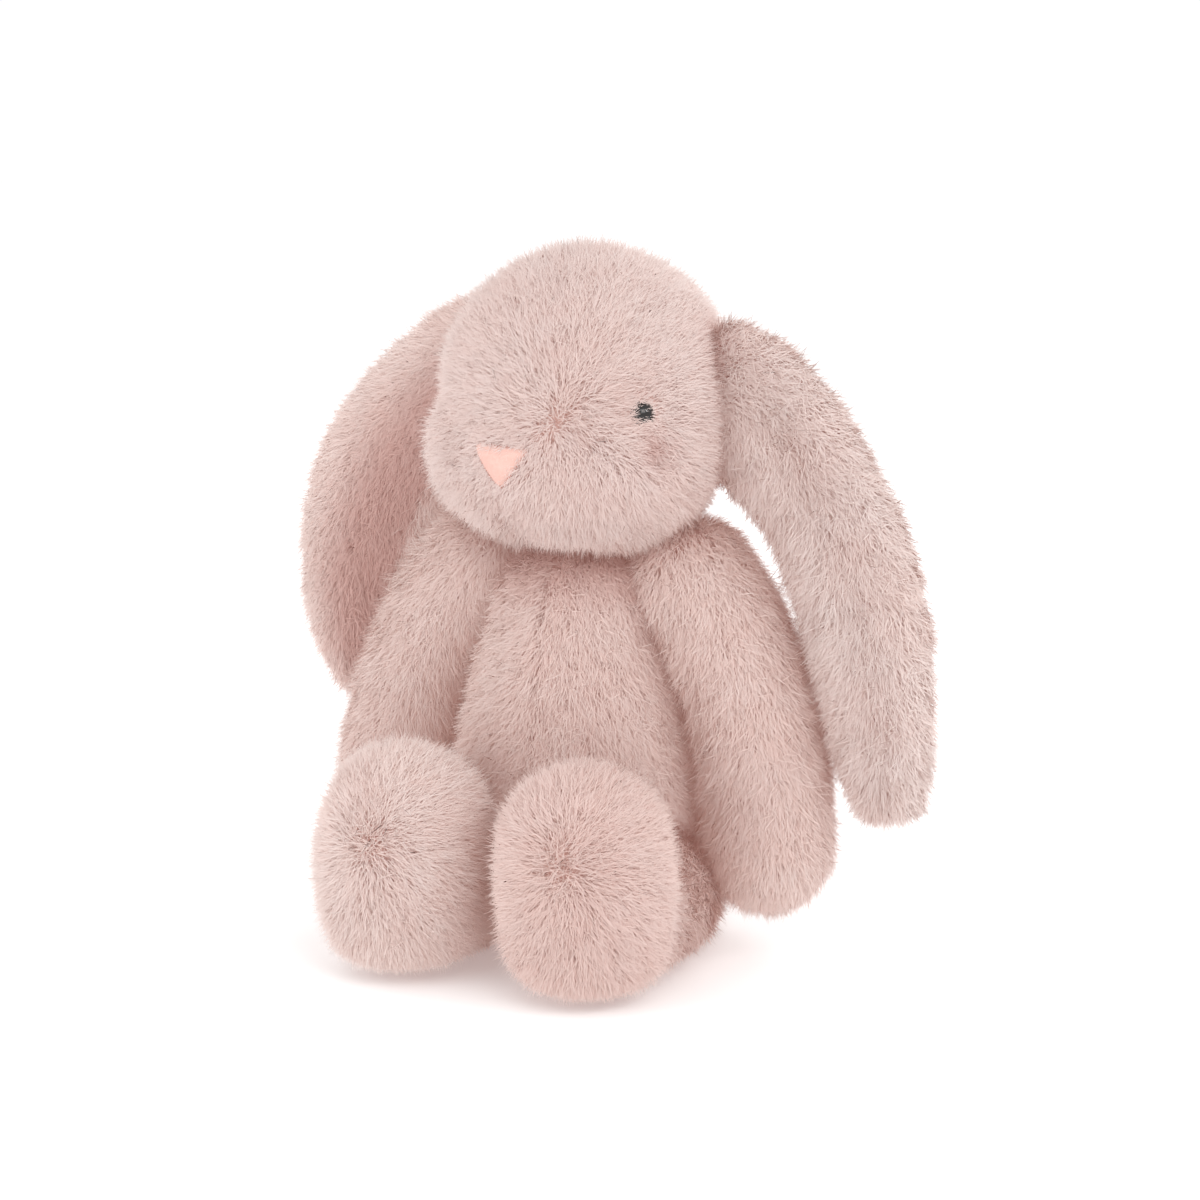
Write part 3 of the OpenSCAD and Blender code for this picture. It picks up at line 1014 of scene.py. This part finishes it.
for side in SIDES:
    for face, sense in (("front", -1), ("back", 1)):
        ear_piles[side, face] = grow(
            f"{side}_ear_{face}_pile", side + "_ear_cover", lambda p, s=side: brush_ear(s, p),
            part=lambda p, s=side, k=sense: (ear_unplace(s, p)[:, 1] * k > 0) & ~deep_in_head(p),
            shade_offset=None if sense > 0 else lambda p, s=side: ear_shade(s, p),
            seed=31 + 2 * SIDES[side] + sense, stand=0.36, pale=EAR_PAINTED_LIGHT[side])

# %% [markdown]
# ## Pile on the arms and the legs
# On a limb it runs towards the paw. On the sole it grows out from the middle, and on a foot it
# falls to the heel.

# %% Limb pile
limb_piles = {}
# Painted light and shade per limb: the arms a little lighter, the left leg darker than the right.
ARM_SHADE_OFFSET = -0.15
LEG_PAINTED_LIGHT = {"left": 0.1, "right": 0.4}
LEG_SHADE_OFFSET = {"left": 0.14, "right": 0.0}
HAND = {side: arm_place(side, np.array([82.0, 0, 20])) for side in SIDES}


def brush_arm(side, points):
    """Towards the paw, and a little outwards."""
    way = unit(HAND[side] - points)
    way = way + np.array([0.25 * SIDES[side], 0, -0.6])
    return way


def brush_leg(side, points):
    """Forwards and down along the leg, out from the middle of the sole, and down on the foot."""
    own = leg_unplace(side, points)
    sole = own - np.array([0, -LEG_LENGTH - 10, 55])
    far = np.linalg.norm(sole[:, [0, 2]], axis=1, keepdims=True)
    way = unit(sole * np.array([1, 0.4, 1])) * (0.5 + 0.7 * ease(far, 0, 9)) + np.array([0, 1.1, -0.3])
    way = way + sway(own, 1.3, 3.0) * (1 - ease(far, 0, 12)) * 1.2
    back = ease(own[:, 1], -LEG_LENGTH + 5, -LEG_LENGTH + 30)[:, None]
    way = way * (1 - back) + np.array([0, -0.8, -0.6]) * back
    turn = leg_turn(side)
    out = way[:, 0] * math.cos(turn) - way[:, 1] * math.sin(turn)
    ahead = way[:, 0] * math.sin(turn) + way[:, 1] * math.cos(turn)
    return np.stack([SIDES[side] * out, ahead, way[:, 2]], axis=1)


for side in SIDES:
    limb_piles[side, "arm"] = grow(
        side + "_arm_pile", side + "_arm_cover", lambda p, s=side: brush_arm(s, p),
        part=lambda p: ~deep_in_torso(p), shade_offset=lambda p: np.full(len(p), ARM_SHADE_OFFSET),
        seed=41 + SIDES[side])
    limb_piles[side, "leg"] = grow(
        side + "_leg_pile", side + "_leg_fur_cover", lambda p, s=side: brush_leg(s, p), seat_trim,
        part=lambda p: ~deep_in_torso(p), seed=51 + SIDES[side], stand=0.46, pale=LEG_PAINTED_LIGHT[side],
        shade_offset=lambda p, s=side: np.full(len(p), LEG_SHADE_OFFSET[s]))

# %% [markdown]
# ## Nose
# The nose is a small triangle of short salmon velour with rounded corners, padded from behind and
# stitched round its edge. It follows the muzzle, so it is a grid over the triangle that is
# pushed out from the muzzle's own round and crowned in the middle.

# %% Nose
NOSE_STITCHES = 44
NOSE_EDGES = [(math.pi / 2, 6.2), (math.radians(-39), 7.2), (math.radians(219), 7.2)]
CORNER_POWER = 5


def velour_material():
    """Very short brushed velour: salmon, with a fine grain and a soft sheen."""
    made, nodes, links, shader = material(
        "nose_velour", Roughness=0.85, Sheen_Weight=0.2, Sheen_Roughness=0.35)
    shader.inputs["Sheen Tint"].default_value = linear(255, 225, 212)
    grain = blotches(nodes, 900.0, 0.5)
    slow = blotches(nodes, 120.0, 0.5)
    colour = mix(nodes, links, grain.outputs["Mask"], linear(226, 182, 170), linear(234, 198, 188))
    colour = mix(nodes, links, slow.outputs["Mask"], colour, linear(219, 172, 160))
    links.new(colour, shader.inputs["Base Color"])
    nap = nodes.new("ShaderNodeBump")
    nap.inputs["Distance"].default_value = 0.0003
    links.new(grain.outputs["Mask"], nap.inputs["Height"])
    links.new(nap.outputs["Normal"], shader.inputs["Normal"])
    return made


def plain_material(name, first, second, size, rough, depth):
    """Two colours in fine grains, with a matching bump."""
    made, nodes, links, shader = material(name, Roughness=rough)
    grain = blotches(nodes, size, 1.0)
    colour = mix(nodes, links, grain.outputs["Mask"], linear(*first), linear(*second))
    links.new(colour, shader.inputs["Base Color"])
    bump = nodes.new("ShaderNodeBump")
    bump.inputs["Distance"].default_value = depth
    links.new(grain.outputs["Mask"], bump.inputs["Height"])
    links.new(bump.outputs["Normal"], shader.inputs["Normal"])
    return made


def nose_outline(turn):
    """Distance from the nose's middle to its edge: a triangle, point down, with round corners,
    from a high power mean of the three edges' distances."""
    pull = sum((np.cos(turn - way).clip(0) / far) ** CORNER_POWER for way, far in NOSE_EDGES)
    return pull ** (-1 / CORNER_POWER)


def on_muzzle(flat_x, flat_z, rise):
    """Points over the nose's middle, set on the muzzle's round and raised from it."""
    own = np.stack([flat_x, 0 * flat_x, flat_z + NOSE_OWN[2] + 1.2], axis=-1) - MUZZLE
    depth = np.sqrt(np.maximum((MUZZLE_R + 2.0) ** 2 - own[..., 0] ** 2 - own[..., 2] ** 2, 1))
    own[..., 1] = -depth - rise
    return in_head(own + MUZZLE)


def nose_part(name, grids, finish):
    """A smooth piece of closed grids that rides on the head."""
    piece = bpy.data.objects.new(name, mesh_of(name, grids))
    bpy.context.collection.objects.link(piece)
    piece.data.shade_smooth()
    piece.data.materials.append(finish)
    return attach(piece, "head")


def nose_piece():
    """Rings from the middle to the edge, crowned. The last rings turn in under the edge, so the
    patch is a closed pad."""
    turn = np.linspace(0, 2 * math.pi, 72, endpoint=False)
    edge = nose_outline(turn)
    shares = np.concatenate([np.linspace(0.02, 0.9, 14), [0.95, 0.985, 1.0, 0.985, 0.9, 0.5, 0.02]])
    rise = np.concatenate([1.8 * (1 - np.linspace(0.02, 0.9, 14) ** 2.2) + 0.9,
                           [0.8, 0.5, 0.0, -0.6, -1.0, -1.2, -1.2]])
    flat_x = shares[:, None] * edge * np.cos(turn)
    flat_z = shares[:, None] * edge * np.sin(turn)
    grid = on_muzzle(flat_x, flat_z, rise[:, None])
    return nose_part("nose_pad", [grid], velour_material())


def nose_stitch_loops():
    """Small slanted stitches round the edge: each is a short bead, longer than it is wide, from
    just inside the edge to just outside it."""
    loops = []
    for turn in np.linspace(0, 2 * math.pi, NOSE_STITCHES, endpoint=False):
        edge = nose_outline(np.array([turn]))[0]
        bead = ball(np.zeros(3), lambda w: 1 / np.sqrt(
            (w[..., 0] / 1.1) ** 2 + (w[..., 2] / 0.32) ** 2 + (w[..., 1] / 0.32) ** 2),
            rings=7, around=10)
        out, along = (math.cos(turn), math.sin(turn)), (-math.sin(turn), math.cos(turn))
        flat_x = (edge - 0.2) * out[0] + bead[..., 0] * out[0] + bead[..., 2] * along[0]
        flat_z = (edge - 0.2) * out[1] + bead[..., 0] * out[1] + bead[..., 2] * along[1]
        loops.append(on_muzzle(flat_x, flat_z, 0.45 - bead[..., 1]))
    return loops


nose = nose_piece()
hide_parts("nose_patch")
nose_part("nose_stitches", nose_stitch_loops(),
          plain_material("salmon_thread", (196, 136, 122), (212, 154, 140), 900, 0.8, 0.0002))
print("nose and", NOSE_STITCHES, "stitches made")

# %% [markdown]
# ## Pieces that stay as they are
# Eyes, washers, threads, filling and weighting beads have the right shape already. The eyes are
# glossy moulded beads, so they get a clear coat, and the rest get plain workshop finishes.

# %% Finishes for carried-over nodes
def bead_material():
    """Black-brown moulded resin under a clear coat."""
    made, nodes, links, shader = material(
        "eye_bead", Roughness=0.12, Coat_Weight=0.5, Coat_Roughness=0.05)
    shader.inputs["Specular IOR Level"].default_value = 0.35
    slow = blotches(nodes, 200.0, 1.0)
    colour = mix(nodes, links, slow.outputs["Mask"], linear(16, 11, 10), linear(26, 18, 15))
    links.new(colour, shader.inputs["Base Color"])
    return made


FINISHES = {
    "eye": bead_material(),
    "washer": plain_material("nylon_washer", (236, 236, 232), (246, 246, 242), 300, 0.45, 0.0001),
    "stuffing": plain_material("polyester_fibre", (240, 238, 232), (252, 251, 248), 500, 0.95, 1e-3),
    "padding": plain_material("ear_wadding", (238, 236, 230), (250, 249, 246), 400, 0.95, 0.0008),
    "pouch": plain_material("pouch_calico", (226, 216, 200), (238, 230, 216), 900, 0.9, 0.0003),
    "beads": plain_material("glass_beads", (196, 210, 218), (226, 234, 238), 700, 0.3, 0.0008),
    "gather": plain_material("gathered_backing", (196, 150, 143), (214, 172, 164), 500, 0.9, 5e-4),
    "thread": plain_material("pink_thread", (206, 166, 158), (224, 190, 182), 1200, 0.7, 0.0002),
    "stitches": plain_material("closing_thread", (200, 158, 150), (220, 184, 176), 1200, 0.7, 2e-4),
}


def finish_for(node):
    """The finish whose word is in the node's name. A washer isn't an eye, nor a pouch beads."""
    for word in ("washer", "eye", "pouch", "beads", "stuffing", "padding", "gather", "thread"):
        if word in node:
            return FINISHES[word]
    return FINISHES["stitches"]


for node, shown in frame["nodes"].items():
    if not shown.hide_render:
        shown.data.materials.clear()
        shown.data.materials.append(finish_for(node))

# %% [markdown]
# ## Riding
# A cover and its pile ride their body, but the pieces of an ear are not set on a body: their
# places are baked into their points. The wadding in an ear is soft, so it is drawn again here,
# and it is carried like the ear.

# %% Ride
def carry(piece, body):
    """An ear's piece stays as drawn, with its place baked in, and everything else rides its body."""
    if not body.endswith("_ear"):
        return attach(piece, body)
    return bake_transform(piece)


WADDING_IN = 9
WADDING_HALF = 2.2


def ear_wadding(side):
    """Thin wadding inside an ear, drawn in from its edges, which is carried like the ear."""
    rows = [(*row[:3], row[3] - WADDING_IN, WADDING_HALF) for row in EAR_ROWS[side]]
    grid = cupped(limb(rows, (0, 1, 0), stations=64), EAR_ROWS[side])
    piece = bpy.data.objects.new(side + "_ear_wadding", mesh_of("wadding", [ear_place(side, grid)]))
    bpy.context.collection.objects.link(piece)
    piece.data.shade_smooth()
    piece.data.materials.append(FINISHES["padding"])
    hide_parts(side + "_ear_padding")
    return carry(piece, side + "_ear")


for side in SIDES:
    ear_wadding(side)
for made in covers:
    carry(made["piece"], made["body"])
carried = {
    "head": [head_left, head_right], "torso": [torso_front, torso_back, tail_pile],
    "neck": [neck_pile],
}
for (side, face), piece in ear_piles.items():
    carried.setdefault(side + "_ear", []).append(piece)
for (side, part), piece in limb_piles.items():
    carried.setdefault(f"{side}_{part}", []).append(piece)
for body, pieces in carried.items():
    for piece in pieces:
        carry(piece, body)

# %% [markdown]
# ## Floor, light and camera
# A pale floor, one large soft light from the upper right, a rim light behind, a small one that
# the eyes catch, a weak fill from the left and a bright even surround.

# %% Stage
FLOOR_HALF = 3.0


def pale_floor():
    """A large square just under the seat, in a warm white."""
    mesh = bpy.data.meshes.new("floor")
    h = FLOOR_HALF
    mesh.from_pydata([(-h, -h, 0), (h, -h, 0), (h, h, 0), (-h, h, 0)], [], [(0, 1, 2, 3)])
    floor = bpy.data.objects.new("floor", mesh)
    bpy.context.collection.objects.link(floor)
    made, nodes, links, shader = material("pale_floor", Roughness=0.9, Emission_Strength=0.22)
    shader.inputs["Base Color"].default_value = linear(250, 250, 250)
    shader.inputs["Emission Color"].default_value = (1, 1, 1, 1)
    mesh.materials.append(made)


def soft_light(name, place, aim, size, power):
    """A square area light at a place, turned to an aim."""
    light = bpy.data.lights.new(name, "AREA")
    light.size = size
    light.energy = power
    lamp = bpy.data.objects.new(name, light)
    bpy.context.collection.objects.link(lamp)
    lamp.location = place
    way = np.array(aim) - np.array(place)
    lamp.rotation_euler = (math.atan2(math.hypot(way[0], way[1]), -way[2]), 0,
                           math.atan2(way[1], way[0]) - math.pi / 2)


pale_floor()
soft_light("key", (1.25, -1.05, 1.35), (0, 0, 0.14), 1.0, 8.5)
soft_light("rim", (0.2, 1.2, 1.0), (0, 0, 0.16), 1.0, 5)
soft_light("catch", (1.42, -0.2, 1.1), (0, 0, 0.2), 0.3, 3)
soft_light("fill", (-0.9, -1.3, 0.5), (0, 0, 0.12), 0.8, 4.5)
world = bpy.context.scene.world or bpy.data.worlds.new("studio")
bpy.context.scene.world = world
world.use_nodes = True
surround = world.node_tree.nodes["Background"].inputs
surround["Color"].default_value = (1, 1, 1, 1)
seen = world.node_tree.nodes.new("ShaderNodeLightPath")
strength = world.node_tree.nodes.new("ShaderNodeMapRange")
strength.inputs["To Min"].default_value = 0.99
strength.inputs["To Max"].default_value = 1.02
world.node_tree.links.new(seen.outputs["Is Camera Ray"], strength.inputs["Value"])
world.node_tree.links.new(strength.outputs["Result"], surround["Strength"])
bpy.context.scene.view_settings.view_transform = "Standard"

# %% Camera
AZIMUTH = math.radians(28)
ELEVATION = math.radians(11)
DISTANCE = 1.5
ACROSS = np.array([math.cos(AZIMUTH), math.sin(AZIMUTH), 0])
OUT = np.array([math.sin(AZIMUTH) * math.cos(ELEVATION), -math.cos(AZIMUTH) * math.cos(ELEVATION),
                math.sin(ELEVATION)])
VIEW_UP = np.cross(OUT, ACROSS)
FIELD = 0.492


def set_camera():
    """A long lens at the viewing angle, level, aimed a little above the middle of the body."""
    lens = bpy.data.cameras.new("camera")
    lens.sensor_width = 36
    lens.lens = 36 * DISTANCE / FIELD
    camera = bpy.data.objects.new("camera", lens)
    bpy.context.collection.objects.link(camera)
    target = ACROSS * 0.0041 + VIEW_UP * 0.1349
    camera.location = target + OUT * DISTANCE
    camera.rotation_euler = (math.pi / 2 - ELEVATION, 0, AZIMUTH)
    bpy.context.scene.camera = camera


set_camera()
